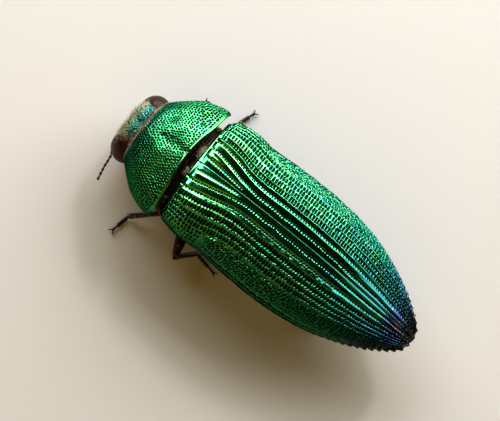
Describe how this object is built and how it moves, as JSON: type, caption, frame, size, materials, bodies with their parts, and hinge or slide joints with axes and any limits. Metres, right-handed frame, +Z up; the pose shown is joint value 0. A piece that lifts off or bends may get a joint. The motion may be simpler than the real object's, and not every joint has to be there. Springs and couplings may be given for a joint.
{
  "type": "jewel beetle",
  "caption": "Metallic green jewel beetle, standing still on its feet with its wing cases closed: a life-size model of the insect.",
  "frame": {"origin": "on the floor, under the middle of the whole beetle's box, feet and feelers included", "axes": "+Z up, -Y the way the head looks, +X to the beetle's left"},
  "size_m": [0.0072, 0.0132, 0.0039],
  "materials": {
    "wing_case": "metallic green cuticle, ridged and punctured",
    "pronotum": "metallic green cuticle, closely punctured",
    "head_shell": "metallic green cuticle, punctured, with short pale hairs",
    "underside": "bronze green cuticle, punctured",
    "neck_skin": "dark membrane with brown hairs",
    "leg": "dark bronze brown cuticle",
    "antenna": "dark bronze brown cuticle",
    "eye": "polished chestnut brown, finely faceted",
    "jaw": "blackish brown cuticle",
    "pale_hair": "fine silvery hair",
    "brown_hair": "fine golden brown hair"
  },
  "bodies": {
    "root": {"coxa_fore_left": "leg", "femur_fore_left": "leg", "tibia_fore_left": "leg", "tarsus_fore_left": "leg", "coxa_mid_left": "leg", "femur_mid_left": "leg", "tibia_mid_left": "leg", "tarsus_mid_left": "leg", "coxa_hind_left": "leg", "femur_hind_left": "leg", "tibia_hind_left": "leg", "tarsus_hind_left": "leg", "elytron_left": "wing_case", "eye_left": "eye", "mandible_left": "jaw", "antenna_left": "antenna", "coxa_fore_right": "leg", "femur_fore_right": "leg", "tibia_fore_right": "leg", "tarsus_fore_right": "leg", "coxa_mid_right": "leg", "femur_mid_right": "leg", "tibia_mid_right": "leg", "tarsus_mid_right": "leg", "coxa_hind_right": "leg", "femur_hind_right": "leg", "tibia_hind_right": "leg", "tarsus_hind_right": "leg", "elytron_right": "wing_case", "eye_right": "eye", "mandible_right": "jaw", "antenna_right": "antenna", "mesothorax": "neck_skin", "metathorax": "underside", "abdomen_1": "underside", "abdomen_2": "underside", "abdomen_3": "underside", "abdomen_4": "underside", "abdomen_5": "underside", "pronotum": "pronotum", "prosternum": "underside", "head": "head_shell", "clypeus": "head_shell"}
  },
  "joints": []
}
